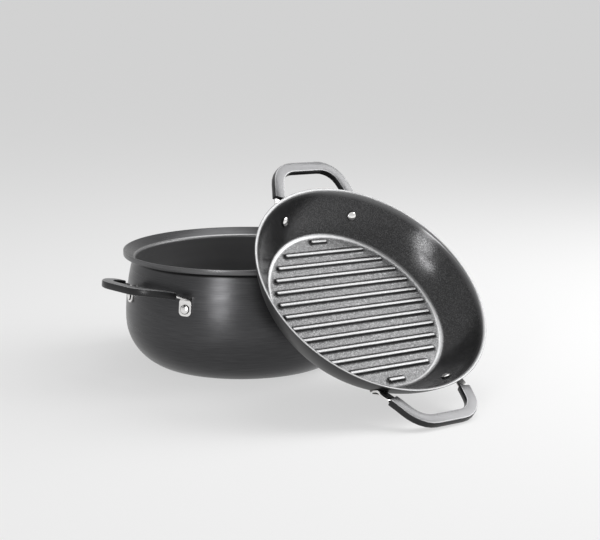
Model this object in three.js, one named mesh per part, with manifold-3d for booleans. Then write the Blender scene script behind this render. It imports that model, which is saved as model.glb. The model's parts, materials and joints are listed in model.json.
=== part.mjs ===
// Dutch oven with a griddle lid. The pot stands upright on the table. The griddle is off the pot: it stands
// on one of its handles and leans with its flat base against the pot's rim, ridged side outwards.
// Lengths are in millimetres and +Z is up. The pot's base is centred on the origin and its handles point
// along -X and +X.
import * as THREE from "three";
import { mergeVertices } from "three/addons/utils/BufferGeometryUtils.js";
import Module from "manifold-3d";

const wasm = await Module();
wasm.setup();

// Pot: one drawn shell with a flat base, a round belly, a narrower neck and a flared rim.
const POT_HEIGHT = 133;
const POT_WALL = 3.5;
const POT_BASE_ROUND = 22;
const POT_BASE_TURN_DEG = 62;
const POT_BELLY_HEIGHT = 54;
const POT_BELLY_SETBACK = 1.6;
const POT_SHOULDER_RADIUS = 270;
const POT_NECK_HEIGHT = 124.5;
const POT_NECK_FILLET = 2;
const POT_THROAT_FILLET = 3;
const POT_RIM_RADIUS = 140;
const POT_LIP_FACE = 5.7;
const POT_RIM_LAND = 1.4;
const POT_RIM_ROUND = 0.6;
const POT_FLARE_DEG = 36;
const POT_TAB_HEIGHT = 86;
const POT_TAB_DEG = 21;
const POT_TAB_ABOVE_RIVET = 7.5;

// Griddle: a shallow pan with a curved wall, measured from the plane of its rim down to its base.
const GRIDDLE_RIM_RADIUS = 137.6;
const GRIDDLE_DEPTH = 46;
const GRIDDLE_FLOOR_THICKNESS = 3.4;
const GRIDDLE_WALL = 3.2;
const GRIDDLE_WALL_SWEEP = 130;
const GRIDDLE_WALL_TOP_DEG = 23;
const GRIDDLE_WALL_FOOT_DEG = 45;
const GRIDDLE_RIM_ROUND = 1;
const GRIDDLE_BASE_FILLET = 11;
const GRIDDLE_FLOOR_FILLET = 3;
const GRIDDLE_TAB_SLOPE_DEG = 35.2;
const GRIDDLE_TAB_DEG = 22.5;
const GRIDDLE_TAB_ABOVE_RIVET = 10.2;

// Ridges of the griddle: straight bars with round ends that stop on one circle.
const RIDGE_PAIRS = 6;
const RIDGE_PITCH = 15.76;
const RIDGE_HEIGHT = 3;
const RIDGE_TOP_WIDTH = 2.6;
const RIDGE_FLANK = 2;
const RIDGE_ENDS_RADIUS = 95.1;
const RIDGE_SINK = 0.3;

// Handles: a flat steel strap riveted on at both ends, with a grip moulded round its loop. The tabs sit on
// flat bands of the walls.
const STRAP_THICKNESS = 2.5;
const TAB_WIDTH = 15;
const TAB_BELOW_RIVET = 7.6;
const TAB_ROUND = 5;
const TAB_BAND = 16.4;
const STRAP_BEND = 5;
const STRAP_WIDTH = 10.5;
const STRAP_CORE_WIDTH = 6.4;
const STRAP_SHOULDER = 1.2;
const STRAP_ELBOW = 7;
const LEG_TAPER_DEG = 17.5;
const GRIP_WIDTH = 12.5;
const GRIP_THICKNESS = 8;
const GRIP_EDGE_ROUND = 1.4;
const GRIP_CORNER = 27;
const GRIP_SETBACK = 13;
const HANDLE_REACH = 48.7;
const HANDLE_ROOT_TILT_DEG = 20.5;
const HANDLE_TIP_TILT_DEG = 6;

// Rivets: a shank through wall and tab with a low dome at each end.
const RIVET_HEAD_RADIUS = 5.4;
const RIVET_HEAD_HEIGHT = 2.1;
const RIVET_HEAD_EDGE = 0.5;
const RIVET_SHANK_RADIUS = 2.4;

// Clearances: between pieces that rest on one another, round the shanks and round the strap in its grip.
const SEAT_GAP = 0.3;
const SHANK_GAP = 0.3;
const CORE_GAP = 0.3;
const LEAN_GAP = 0.3;
const OVERRUN = 2;

// How the griddle stands: the way its ridged side faces, its turn on the spot and its sideways place.
const LEAN_AZIMUTH_DEG = -95;
const LEAN_FACE_DEG = 48.3;
const LEAN_SPIN_DEG = -2.65;
const LEAN_SIDE_SHIFT = 9.3;

// How finely the round shapes are cut: sides of a full turn, and steps of the arcs.
const POT_TURNS = 60;
const GRIDDLE_TURNS = 56;
const RIVET_TURNS = 12;
const BASE_STEPS = 3;
const BELLY_STEPS = 4;
const FILLET_STEPS = 2;
const WIDE_FILLET_STEPS = 3;
const GRIP_CORNER_STEPS = 6;
const LEG_STEPS = 2;
const DOME_STEPS = 3;
const BEND_STEP_DEG = 15;
const TAB_ROUND_STEPS = 4;
const RIDGE_END_STEPS = 3;

// Corners of a surface that lie nearer to one another than this are one corner.
const WELD_DISTANCE = 0.0001;

const rad = THREE.MathUtils.degToRad;
const POT_BELLY_RADIUS = POT_RIM_RADIUS - POT_BELLY_SETBACK;

function material(color, metalness, roughness) {
  return new THREE.MeshStandardMaterial({ color, metalness, roughness });
}

// A closed geometry as a solid that can be added, subtracted and intersected.
function solidOf(geometry) {
  const bare = geometry.clone();
  bare.deleteAttribute("normal");
  bare.deleteAttribute("uv");
  const merged = mergeVertices(bare, WELD_DISTANCE);
  return new wasm.Manifold(
    new wasm.Mesh({
      numProp: 3,
      vertProperties: new Float32Array(merged.attributes.position.array),
      triVerts: new Uint32Array(merged.index.array),
    }),
  );
}

function geometryOf(solid) {
  const mesh = solid.getMesh();
  const geometry = new THREE.BufferGeometry();
  geometry.setAttribute("position", new THREE.BufferAttribute(mesh.vertProperties, 3));
  geometry.setIndex(new THREE.BufferAttribute(mesh.triVerts, 1));
  geometry.computeVertexNormals();
  return geometry;
}

function meshOf(name, solid, look) {
  const mesh = new THREE.Mesh(geometryOf(solid), look);
  mesh.name = name;
  return mesh;
}

function arcPoint(centreX, centreY, radius, angle) {
  return new THREE.Vector2(centreX + radius * Math.cos(angle), centreY + radius * Math.sin(angle));
}

// Points of an arc round a centre, from one angle to the other, both ends included.
function arcPoints(centreX, centreY, radius, fromAngle, toAngle, steps) {
  return Array.from({ length: steps + 1 }, (_, i) =>
    arcPoint(centreX, centreY, radius, fromAngle + ((toAngle - fromAngle) * i) / steps),
  );
}

// The corner between two straight lines, cut by an arc of the given radius.
function filletPoints(before, corner, after, radius, steps) {
  const back = before.clone().sub(corner).normalize();
  const on = after.clone().sub(corner).normalize();
  const half = Math.acos(THREE.MathUtils.clamp(back.dot(on), -1, 1)) / 2;
  const reach = radius / Math.tan(half);
  const centre = corner.clone().addScaledVector(back.clone().add(on).normalize(), radius / Math.sin(half));
  const start = corner.clone().addScaledVector(back, reach).sub(centre);
  const end = corner.clone().addScaledVector(on, reach).sub(centre);
  const turn = Math.atan2(start.cross(end), start.dot(end));
  return arcPoints(centre.x, centre.y, radius, start.angle(), start.angle() + turn, steps);
}

// A profile (radius, height) turned about the Z axis.
function turned(profile, segments) {
  const geometry = new THREE.LatheGeometry(profile, segments);
  geometry.rotateX(Math.PI / 2);
  return solidOf(geometry);
}

// The foot of the wall, for the face that lies this far inside the outer one: a tight arc round the base runs
// into a wide one that ends at the belly's widest height.
function potFoot(inset) {
  const turn = rad(POT_BASE_TURN_DEG);
  const between = (POT_BELLY_HEIGHT - POT_BASE_ROUND) / Math.sin(turn);
  const bellyRound = POT_BASE_ROUND + between;
  const bellyX = POT_BELLY_RADIUS - bellyRound;
  const baseX = bellyX + between * Math.cos(turn);
  return [
    ...arcPoints(baseX, POT_BASE_ROUND, POT_BASE_ROUND - inset, -Math.PI / 2, -turn, BASE_STEPS),
    ...arcPoints(bellyX, POT_BELLY_HEIGHT, bellyRound - inset, -turn, 0, BELLY_STEPS).slice(1),
  ];
}

// The shoulder between belly and neck, for one face of the wall. A flat band of it carries the tabs.
function potShoulder(inset) {
  const centreX = POT_BELLY_RADIUS - POT_SHOULDER_RADIUS;
  const radius = POT_SHOULDER_RADIUS - inset;
  const bandFoot = POT_TAB_HEIGHT - TAB_BAND / 2;
  const bandTop = POT_TAB_HEIGHT + TAB_BAND / 2;
  const heights = [bandFoot, bandTop, (bandTop + POT_NECK_HEIGHT) / 2, POT_NECK_HEIGHT];
  return heights.map((height) => {
    const angle = Math.asin((height - POT_BELLY_HEIGHT) / POT_SHOULDER_RADIUS);
    return arcPoint(centreX, POT_BELLY_HEIGHT, radius, angle);
  });
}

function potProfile() {
  const flare = Math.tan(rad(POT_FLARE_DEG));
  const outer = [...potFoot(0), ...potShoulder(0)];
  const inner = [...potFoot(POT_WALL), ...potShoulder(POT_WALL)];
  const neck = outer.pop();
  const lipFoot = new THREE.Vector2(POT_RIM_RADIUS, POT_HEIGHT - POT_LIP_FACE);
  const lipTop = new THREE.Vector2(POT_RIM_RADIUS, POT_HEIGHT);
  const landEnd = new THREE.Vector2(POT_RIM_RADIUS - POT_RIM_LAND, POT_HEIGHT);
  const throat = inner.pop();
  throat.y = POT_HEIGHT - (landEnd.x - throat.x) * flare;
  return [
    new THREE.Vector2(0, 0),
    ...outer,
    ...filletPoints(outer.at(-1), neck, lipFoot, POT_NECK_FILLET, FILLET_STEPS),
    ...filletPoints(neck, lipFoot, lipTop, POT_RIM_ROUND, FILLET_STEPS),
    ...filletPoints(lipFoot, lipTop, landEnd, POT_RIM_ROUND, FILLET_STEPS),
    landEnd,
    ...filletPoints(landEnd, throat, inner.at(-1), POT_THROAT_FILLET, FILLET_STEPS),
    ...inner.reverse(),
    new THREE.Vector2(0, POT_WALL),
  ];
}

// The curved wall of the griddle from foot to rim, for one face of it. A flat band of it carries the tabs.
function griddleWall(radius) {
  const top = rad(GRIDDLE_WALL_TOP_DEG);
  const foot = rad(GRIDDLE_WALL_FOOT_DEG);
  const bandHalf = TAB_BAND / (2 * GRIDDLE_WALL_SWEEP);
  const bandFoot = rad(GRIDDLE_TAB_SLOPE_DEG) + bandHalf;
  const bandTop = rad(GRIDDLE_TAB_SLOPE_DEG) - bandHalf;
  const centreX = GRIDDLE_RIM_RADIUS - GRIDDLE_WALL_SWEEP * Math.cos(top);
  const centreY = GRIDDLE_WALL_SWEEP * Math.sin(top);
  const slopes = [foot, (foot + bandFoot) / 2, bandFoot, bandTop, (bandTop + top) / 2, top];
  return slopes.map((slope) => arcPoint(centreX, centreY, radius, -slope));
}

function lineTo(start, next, height) {
  const share = (height - start.y) / (next.y - start.y);
  return start.clone().lerp(next, share);
}

function griddleProfile() {
  const floor = GRIDDLE_FLOOR_THICKNESS - GRIDDLE_DEPTH;
  const outer = griddleWall(GRIDDLE_WALL_SWEEP);
  const inner = griddleWall(GRIDDLE_WALL_SWEEP - GRIDDLE_WALL);
  const heel = lineTo(outer[0], outer[1], -GRIDDLE_DEPTH);
  const floorEdge = lineTo(inner[0], inner[1], floor);
  const rimOut = outer.pop();
  const rimIn = lineTo(inner.at(-2), inner.at(-1), 0);
  inner.pop();
  const base = new THREE.Vector2(0, -GRIDDLE_DEPTH);
  const middle = new THREE.Vector2(0, floor);
  return [
    base,
    ...filletPoints(base, heel, outer[0], GRIDDLE_BASE_FILLET, WIDE_FILLET_STEPS),
    ...outer,
    ...filletPoints(outer.at(-1), rimOut, rimIn, GRIDDLE_RIM_ROUND, FILLET_STEPS),
    ...filletPoints(rimOut, rimIn, inner.at(-1), GRIDDLE_RIM_ROUND, FILLET_STEPS),
    ...inner.reverse(),
    ...filletPoints(inner.at(-1), floorEdge, middle, GRIDDLE_FLOOR_FILLET, FILLET_STEPS),
    middle,
  ];
}

// Where a tab sits on a wall: the middle of one flat facet of the outer face, and the slope of the facet.
function seatBetween(lower, upper, turns, tabAngle, aboveRivet) {
  const facetShare = Math.cos(Math.PI / turns);
  return {
    radius: ((lower.x + upper.x) / 2) * facetShare,
    height: (lower.y + upper.y) / 2,
    rise: Math.atan2(upper.y - lower.y, (upper.x - lower.x) * facetShare),
    tabAngle,
    aboveRivet,
  };
}

function potSeat() {
  const [bandFoot, bandTop] = potShoulder(0);
  return seatBetween(bandFoot, bandTop, POT_TURNS, rad(POT_TAB_DEG), POT_TAB_ABOVE_RIVET);
}

function griddleSeat() {
  const [, , bandFoot, bandTop] = griddleWall(GRIDDLE_WALL_SWEEP);
  return seatBetween(bandFoot, bandTop, GRIDDLE_TURNS, rad(GRIDDLE_TAB_DEG), GRIDDLE_TAB_ABOVE_RIVET);
}

// A point of the upright plane through a tab, given by its radius and height.
function tabPoint(seat, radius, height) {
  const { tabAngle } = seat;
  return new THREE.Vector3(radius * Math.cos(tabAngle), radius * Math.sin(tabAngle), height);
}

// A ribbon: stations along a strap, each with its place, the way its face looks, its width and thickness.
class Ribbon extends THREE.Curve {
  constructor(stations) {
    super();
    this.stations = stations;
  }
  index(share) {
    return Math.round(share * (this.stations.length - 1));
  }
  getPoint(share) {
    return this.stations[this.index(share)].at.clone();
  }
  getPointAt(share) {
    return this.getPoint(share);
  }
  computeFrenetFrames() {
    const tangents = [];
    const normals = [];
    const binormals = [];
    const last = this.stations.length - 1;
    this.stations.forEach((station, i) => {
      const from = this.stations[Math.max(i - 1, 0)].at;
      const to = this.stations[Math.min(i + 1, last)].at;
      const along = to.clone().sub(from).normalize();
      const across = along.clone().cross(station.face).normalize();
      const face = across.clone().cross(along);
      tangents.push(along);
      normals.push(across.multiplyScalar(station.width));
      binormals.push(face.multiplyScalar(-station.thickness));
    });
    return { tangents, normals, binormals };
  }
}

function swept(stations, section) {
  const ribbon = new Ribbon(stations);
  const options = { steps: stations.length - 1, extrudePath: ribbon, bevelEnabled: false };
  return solidOf(new THREE.ExtrudeGeometry(section, options));
}

// A rectangle one unit wide and one unit thick, for stations that give their own width and thickness.
function unitSection() {
  const half = 1 / 2;
  return new THREE.Shape([
    new THREE.Vector2(-half, -half),
    new THREE.Vector2(half, -half),
    new THREE.Vector2(half, half),
    new THREE.Vector2(-half, half),
  ]);
}

function roundedSection(width, thickness, radius) {
  const x = width / 2;
  const y = thickness / 2;
  const corners = [
    new THREE.Vector2(-x, -y),
    new THREE.Vector2(x, -y),
    new THREE.Vector2(x, y),
    new THREE.Vector2(-x, y),
  ];
  const points = corners.flatMap((corner, i) =>
    filletPoints(corners.at(i - 1), corner, corners[(i + 1) % corners.length], radius, FILLET_STEPS),
  );
  return new THREE.Shape(points);
}

// The route of one handle's strap. The tab and bend lie in the upright plane of the rivet. The loop rises
// away from the wall and levels out towards its end. Only the half with positive Y is worked out; the rest
// mirrors it.
function handleRoute(seat) {
  const { radius, height, rise, tabAngle, aboveRivet } = seat;
  const rootTilt = rad(HANDLE_ROOT_TILT_DEG);
  const bow = HANDLE_REACH / (rootTilt - rad(HANDLE_TIP_TILT_DEG));
  const legRise = Math.atan(Math.tan(rootTilt) * Math.cos(tabAngle));
  const offset = SEAT_GAP + STRAP_THICKNESS / 2;
  const faceAt = (angle) => tabPoint(seat, -Math.sin(angle), Math.cos(angle));
  const wallPoint = (along) => [
    radius + along * Math.cos(rise) + offset * Math.sin(rise),
    height + along * Math.sin(rise) - offset * Math.cos(rise),
  ];
  const tab = Array.from({ length: TAB_ROUND_STEPS }, (_, i) => {
    const angle = (Math.PI / 2) * ((i + 1) / (TAB_ROUND_STEPS + 1));
    const along = -TAB_BELOW_RIVET + TAB_ROUND * (1 - Math.cos(angle));
    const narrower = 2 * TAB_ROUND * (1 - Math.sin(angle));
    return { along, width: TAB_WIDTH - narrower };
  });
  tab.unshift({ along: -TAB_BELOW_RIVET, width: TAB_WIDTH - 2 * TAB_ROUND });
  tab.push({ along: TAB_ROUND - TAB_BELOW_RIVET, width: TAB_WIDTH });
  const stations = tab.map(({ along, width }) => ({
    at: tabPoint(seat, ...wallPoint(along)),
    face: faceAt(rise),
    width,
  }));
  const bendSteps = Math.max(FILLET_STEPS, Math.round((rise - legRise) / rad(BEND_STEP_DEG)));
  const [startX, startY] = wallPoint(aboveRivet);
  const bendX = startX + STRAP_BEND * Math.sin(rise);
  const bendY = startY - STRAP_BEND * Math.cos(rise);
  for (let i = 0; i <= bendSteps; i++) {
    const share = i / bendSteps;
    const angle = rise + (legRise - rise) * share;
    const x = bendX - STRAP_BEND * Math.sin(angle);
    const y = bendY + STRAP_BEND * Math.cos(angle);
    const width = TAB_WIDTH + (STRAP_WIDTH - TAB_WIDTH) * share;
    stations.push({ at: tabPoint(seat, x, y), face: faceAt(angle), width });
  }
  const start = stations.at(-1).at;
  const outward = new THREE.Vector3(Math.cos(rootTilt), 0, Math.sin(rootTilt));
  const legWay = tabPoint(seat, Math.cos(legRise), Math.sin(legRise));
  const heading = Math.atan2(legWay.y, legWay.dot(outward));
  const a = new THREE.Vector2(0, start.y);
  const elbowReach = STRAP_ELBOW * Math.tan((heading + rad(LEG_TAPER_DEG)) / 2);
  const b = a.clone().add(new THREE.Vector2(Math.cos(heading), Math.sin(heading)).multiplyScalar(elbowReach));
  const cornerY = b.y - (HANDLE_REACH - b.x) * Math.tan(rad(LEG_TAPER_DEG));
  const c = new THREE.Vector2(HANDLE_REACH, cornerY);
  const d = new THREE.Vector2(HANDLE_REACH, 0);
  const legEnd = b.clone().lerp(c, (GRIP_SETBACK - b.x) / (c.x - b.x));
  const legStep = c.clone().sub(b).normalize();
  const elbow = filletPoints(a, b, c, STRAP_ELBOW, FILLET_STEPS).slice(1);
  const corner = filletPoints(b, c, d, GRIP_CORNER, GRIP_CORNER_STEPS);
  const leg = Array.from({ length: LEG_STEPS }, (_, i) => legEnd.clone().lerp(corner[0], i / LEG_STEPS));
  const inLoop = (point, width) => {
    const tilt = rootTilt - point.x / bow;
    const x = start.x + bow * (Math.sin(rootTilt) - Math.sin(tilt));
    const z = start.z + bow * (Math.cos(tilt) - Math.cos(rootTilt));
    const face = new THREE.Vector3(-Math.sin(tilt), 0, Math.cos(tilt));
    return { at: new THREE.Vector3(x, point.y, z), face, width };
  };
  const back = (distance) => legEnd.clone().addScaledVector(legStep, -distance);
  stations.push(
    ...elbow.map((point) => inLoop(point, STRAP_WIDTH)),
    inLoop(back(SEAT_GAP + STRAP_SHOULDER), STRAP_WIDTH),
    inLoop(back(SEAT_GAP), STRAP_CORE_WIDTH),
    ...[...leg, ...corner].map((point) => inLoop(point, STRAP_CORE_WIDTH)),
  );
  const grip = [...leg, ...corner].map((point) => inLoop(point));
  const lead = inLoop(back(OVERRUN));
  return { strap: mirrored(stations), grip: mirrored(grip), lead };
}

// Stations of the half with positive Y, followed by their mirror images in the way back.
function mirrored(stations) {
  const flip = (vector) => vector.clone().setY(-vector.y);
  const rest = stations.map((station) => ({ ...station, at: flip(station.at), face: flip(station.face) }));
  return [...stations, ...rest.reverse()];
}

// A cylinder along the line of a rivet, from one distance outside the wall's face to another.
function boreAt(seat, radius, from, to) {
  const geometry = new THREE.CylinderGeometry(radius, radius, to - from, RIVET_TURNS);
  geometry.translate(0, (from + to) / 2, 0);
  return solidOf(geometry.applyMatrix4(rivetFrame(seat)));
}

// Carries the Y axis onto the outward line of the rivet, starting at the wall's outer face.
function rivetFrame(seat) {
  const { radius, height, rise } = seat;
  const out = tabPoint(seat, Math.sin(rise), -Math.cos(rise));
  const up = tabPoint(seat, Math.cos(rise), Math.sin(rise));
  const side = out.clone().cross(up);
  return new THREE.Matrix4().makeBasis(side, out, up).setPosition(tabPoint(seat, radius, height));
}

function rivetSolid(seat, wall) {
  const dome = (foot, way) => {
    const rise = RIVET_HEAD_HEIGHT - RIVET_HEAD_EDGE;
    const sphere = (RIVET_HEAD_RADIUS ** 2 + rise ** 2) / (2 * rise);
    const spread = Math.asin(RIVET_HEAD_RADIUS / sphere);
    const top = foot + way * RIVET_HEAD_HEIGHT;
    return Array.from({ length: DOME_STEPS + 1 }, (_, i) => {
      const angle = (spread * i) / DOME_STEPS;
      return new THREE.Vector2(sphere * Math.sin(angle), top - way * sphere * (1 - Math.cos(angle)));
    });
  };
  const outerFoot = SEAT_GAP + STRAP_THICKNESS + SEAT_GAP;
  const innerFoot = -wall - SEAT_GAP;
  const profile = [
    ...dome(innerFoot, -1),
    new THREE.Vector2(RIVET_HEAD_RADIUS, innerFoot),
    new THREE.Vector2(RIVET_SHANK_RADIUS, innerFoot),
    new THREE.Vector2(RIVET_SHANK_RADIUS, outerFoot),
    new THREE.Vector2(RIVET_HEAD_RADIUS, outerFoot),
    ...dome(outerFoot, 1).reverse(),
  ];
  const geometry = new THREE.LatheGeometry(profile, RIVET_TURNS);
  return solidOf(geometry.applyMatrix4(rivetFrame(seat)));
}

// The two rivet places of one handle, as the seat itself and its mirror image.
function bothTabs(seat) {
  return [seat, { ...seat, tabAngle: -seat.tabAngle }];
}

function strapSolid(seat, route) {
  const stations = route.strap.map((station) => ({ ...station, thickness: STRAP_THICKNESS }));
  return bothTabs(seat).reduce(
    (solid, tab) =>
      solid.subtract(boreAt(tab, RIVET_SHANK_RADIUS + SHANK_GAP, -OVERRUN, STRAP_THICKNESS + OVERRUN)),
    swept(stations, unitSection()),
  );
}

function gripSolid(route) {
  const body = route.grip.map((station) => ({ ...station, width: 1, thickness: 1 }));
  const flip = (vector) => vector.clone().setY(-vector.y);
  const tail = { at: flip(route.lead.at), face: flip(route.lead.face) };
  const hollow = [route.lead, ...route.grip, tail].map((station) => ({
    ...station,
    width: STRAP_CORE_WIDTH + 2 * CORE_GAP,
    thickness: STRAP_THICKNESS + 2 * CORE_GAP,
  }));
  const outside = swept(body, roundedSection(GRIP_WIDTH, GRIP_THICKNESS, GRIP_EDGE_ROUND));
  return outside.subtract(swept(hollow, unitSection()));
}

const steelLook = material(0xc9c9c6, 1, 0.22);
const gripLook = material(0x55565a, 0.1, 0.55);
const potLook = material(0x3a3a3c, 0.6, 0.5);
const griddleLook = material(0x47474a, 0.35, 0.5);

// One handle of a pan: strap, grip and two rivets, made on the +X side and then turned about the Z axis.
function handle(pan, turn, side, rivetPlaces) {
  const route = handleRoute(pan.seat);
  const rivets = bothTabs(pan.seat).map((tab, i) =>
    meshOf(`${pan.name}_rivet_${rivetPlaces[i]}`, rivetSolid(tab, pan.wall), steelLook.clone()),
  );
  const group = new THREE.Group();
  group.add(
    meshOf(`${pan.name}_strap_${side}`, strapSolid(pan.seat, route), steelLook.clone()),
    meshOf(`${pan.name}_grip_${side}`, gripSolid(route), gripLook.clone()),
    ...rivets,
  );
  group.rotation.z = turn;
  return group;
}

// The shell of a pan with the four holes its rivets pass through.
function drilled(shell, pan) {
  const holes = [0, Math.PI].flatMap((turn) =>
    bothTabs(pan.seat).map((tab) => ({ ...tab, tabAngle: tab.tabAngle + turn })),
  );
  return holes.reduce(
    (solid, hole) =>
      solid.subtract(boreAt(hole, RIVET_SHANK_RADIUS + SHANK_GAP, -pan.wall - OVERRUN, OVERRUN)),
    shell,
  );
}

function pot() {
  const pan = { name: "pot", seat: potSeat(), wall: POT_WALL };
  const shell = turned(potProfile(), POT_TURNS);
  const group = new THREE.Group();
  group.add(
    meshOf("pot_body", drilled(shell, pan), potLook),
    handle(pan, 0, "right", ["right_back", "right_front"]),
    handle(pan, Math.PI, "left", ["left_front", "left_back"]),
  );
  return group;
}

// One ridge: a bar along Y with round ends, whose flanks rise from the floor in a quarter ellipse.
function ridge(x, halfLength) {
  const radius = RIDGE_TOP_WIDTH / 2;
  const reach = halfLength - radius;
  const outline = new THREE.Shape([
    ...arcPoints(x, reach, radius, 0, Math.PI, RIDGE_END_STEPS),
    ...arcPoints(x, -reach, radius, Math.PI, 2 * Math.PI, RIDGE_END_STEPS),
  ]);
  const geometry = new THREE.ExtrudeGeometry(outline, {
    depth: RIDGE_SINK,
    bevelThickness: RIDGE_HEIGHT,
    bevelSize: RIDGE_FLANK,
    bevelSegments: FILLET_STEPS,
  });
  geometry.translate(0, 0, GRIDDLE_FLOOR_THICKNESS - GRIDDLE_DEPTH - RIDGE_SINK);
  return solidOf(geometry);
}

function griddle() {
  const pan = { name: "griddle", seat: griddleSeat(), wall: GRIDDLE_WALL };
  let shell = turned(griddleProfile(), GRIDDLE_TURNS);
  for (let i = -RIDGE_PAIRS; i <= RIDGE_PAIRS; i++) {
    const x = i * RIDGE_PITCH;
    shell = shell.add(ridge(x, Math.sqrt(RIDGE_ENDS_RADIUS ** 2 - x ** 2)));
  }
  const group = new THREE.Group();
  group.add(
    meshOf("griddle_body", drilled(shell, pan), griddleLook),
    handle(pan, 0, "upper", ["upper_left", "upper_right"]),
    handle(pan, Math.PI, "lower", ["lower_right", "lower_left"]),
  );
  return group;
}

// Turns the griddle the way it leans, then sets it down on its lower grip and up against the pot's rim.
function lean(group) {
  const azimuth = rad(LEAN_AZIMUTH_DEG);
  const face = rad(LEAN_FACE_DEG);
  const facing = new THREE.Vector3(
    Math.cos(face) * Math.cos(azimuth),
    Math.cos(face) * Math.sin(azimuth),
    Math.sin(face),
  );
  const climb = new THREE.Vector3(0, 0, 1).addScaledVector(facing, -facing.z).normalize();
  climb.applyAxisAngle(facing, rad(LEAN_SPIN_DEG));
  const side = facing.clone().cross(climb);
  group.quaternion.setFromRotationMatrix(new THREE.Matrix4().makeBasis(climb, side, facing));
  group.updateMatrixWorld(true);
  const lowest = new THREE.Box3().setFromObject(group, true).min.z;
  const height = -lowest;
  const rimReach =
    (POT_RIM_RADIUS - POT_RIM_ROUND) * Math.cos(face) +
    (POT_HEIGHT - POT_RIM_ROUND) * Math.sin(face) +
    POT_RIM_ROUND;
  const away = (rimReach + LEAN_GAP + GRIDDLE_DEPTH - height * Math.sin(face)) / Math.cos(face);
  group.position.set(
    away * Math.cos(azimuth) - LEAN_SIDE_SHIFT * Math.sin(azimuth),
    away * Math.sin(azimuth) + LEAN_SIDE_SHIFT * Math.cos(azimuth),
    height,
  );
  return group;
}

const group = new THREE.Group();
group.add(pot(), lean(griddle()));

export default group;
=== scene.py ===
# %% [markdown]
# # A deep pot and the ridged griddle that goes with it
# The pot stands on the table. The griddle stands on one of its own handles and leans against the pot's rim,
# so that its ridges face us. Both pans are aluminium sheet, hard-anodised to charcoal grey. Their handles
# are steel straps with a grey grip, held by polished steel rivets.
# The CAD model gives every place and size. Here the same forms are made again with smoother curves and
# softer edges, and they are given their finishes.

import json
from math import acos, asin, atan2, cos, pi, radians, sin, tan

import bpy
from mathutils import Matrix, Quaternion, Vector

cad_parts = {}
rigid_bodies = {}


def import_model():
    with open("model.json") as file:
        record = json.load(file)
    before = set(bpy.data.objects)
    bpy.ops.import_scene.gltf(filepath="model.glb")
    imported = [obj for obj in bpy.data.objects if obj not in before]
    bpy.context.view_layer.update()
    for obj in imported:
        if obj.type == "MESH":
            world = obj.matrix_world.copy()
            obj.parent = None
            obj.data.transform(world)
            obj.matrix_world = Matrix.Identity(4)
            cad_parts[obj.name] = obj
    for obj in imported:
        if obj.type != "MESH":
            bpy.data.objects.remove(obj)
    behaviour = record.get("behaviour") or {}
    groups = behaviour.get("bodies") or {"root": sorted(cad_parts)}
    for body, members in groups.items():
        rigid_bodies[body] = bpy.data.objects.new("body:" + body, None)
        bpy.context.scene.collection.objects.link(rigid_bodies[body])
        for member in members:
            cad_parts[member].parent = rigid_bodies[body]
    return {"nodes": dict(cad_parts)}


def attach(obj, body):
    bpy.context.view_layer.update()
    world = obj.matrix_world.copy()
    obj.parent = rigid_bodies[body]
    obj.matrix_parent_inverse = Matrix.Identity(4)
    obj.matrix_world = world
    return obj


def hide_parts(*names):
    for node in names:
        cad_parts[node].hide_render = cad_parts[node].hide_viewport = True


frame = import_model()
bpy.context.view_layer.update()
nodes = frame["nodes"]


def brief(numbers):
    """Numbers with four decimals, for printing."""
    return tuple(round(number, 4) for number in numbers)


# %% [markdown]
# ## The camera
# A product photographer stands well back with a long lens, so that the two round pans keep their shape.
# The camera's place, its direction and the lens were worked out from the ellipses of the two rims and from
# the spacing of the ridges. They are plain numbers, so the view is the same on every run.
# The Standard view transform shows each colour about as it is written.

# %% The camera
SENSOR_WIDTH = 36
CAMERA_LENS = 87.47
CAMERA_PLACE = Vector((-1.1135, -1.2649, 0.4455))
CAMERA_LOOKS = Vector((0.6763, 0.7095, -0.1981))

camera_data = bpy.data.cameras.new("photo_camera")
camera_data.sensor_width = SENSOR_WIDTH
camera_data.lens = CAMERA_LENS
camera = bpy.data.objects.new("photo_camera", camera_data)
camera.location = CAMERA_PLACE
camera.rotation_mode = "QUATERNION"
camera.rotation_quaternion = CAMERA_LOOKS.to_track_quat("-Z", "Y")
bpy.context.scene.collection.objects.link(camera)
bpy.context.scene.camera = camera
bpy.context.scene.view_settings.view_transform = "Standard"
print("camera:", CAMERA_LENS, "mm lens,", round(CAMERA_PLACE.length, 2), "m from the pot's base")

# %% [markdown]
# ## Working by hand, in code
# An operator acts on all that is selected, so each step starts by letting go of everything and then picks
# one piece. A finished piece has its object at the origin and its place in its own mesh, as the CAD parts
# have. That is what Apply does, and it keeps the patterns of the finishes in place.

# %% Picking, copying and settling
MM = 0.001


def let_go():
    bpy.ops.object.select_all(action="DESELECT")


def pick(piece):
    let_go()
    piece.select_set(True)
    bpy.context.view_layer.objects.active = piece


def name_piece(piece, name):
    """Names a piece and its mesh."""
    piece.name = name
    piece.data.name = name
    return piece


def copy_of(piece, name):
    """A copy with its own mesh."""
    pick(piece)
    bpy.ops.object.duplicate(linked=False)
    return name_piece(bpy.context.active_object, name)


def discard(piece):
    pick(piece)
    bpy.ops.object.delete()


def apply_place():
    bpy.ops.object.transform_apply(location=True, rotation=True, scale=True)


def settle(piece, place):
    """Moves the piece to its place and writes that place into its mesh."""
    pick(piece)
    piece.matrix_world = place
    apply_place()
    return piece


print("CAD parts to dress:", len(nodes))

# %% [markdown]
# ## Sections
# Round cookware is one section turned about an axis. A section is a list of points, each a radius and a
# height in millimetres. Its curves are arcs about a centre, or rounds where two straight lines meet. They
# could be drawn by eye with a curve, but worked out like this they hit the sizes of the CAD model.

# %% Curves of a section


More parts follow.
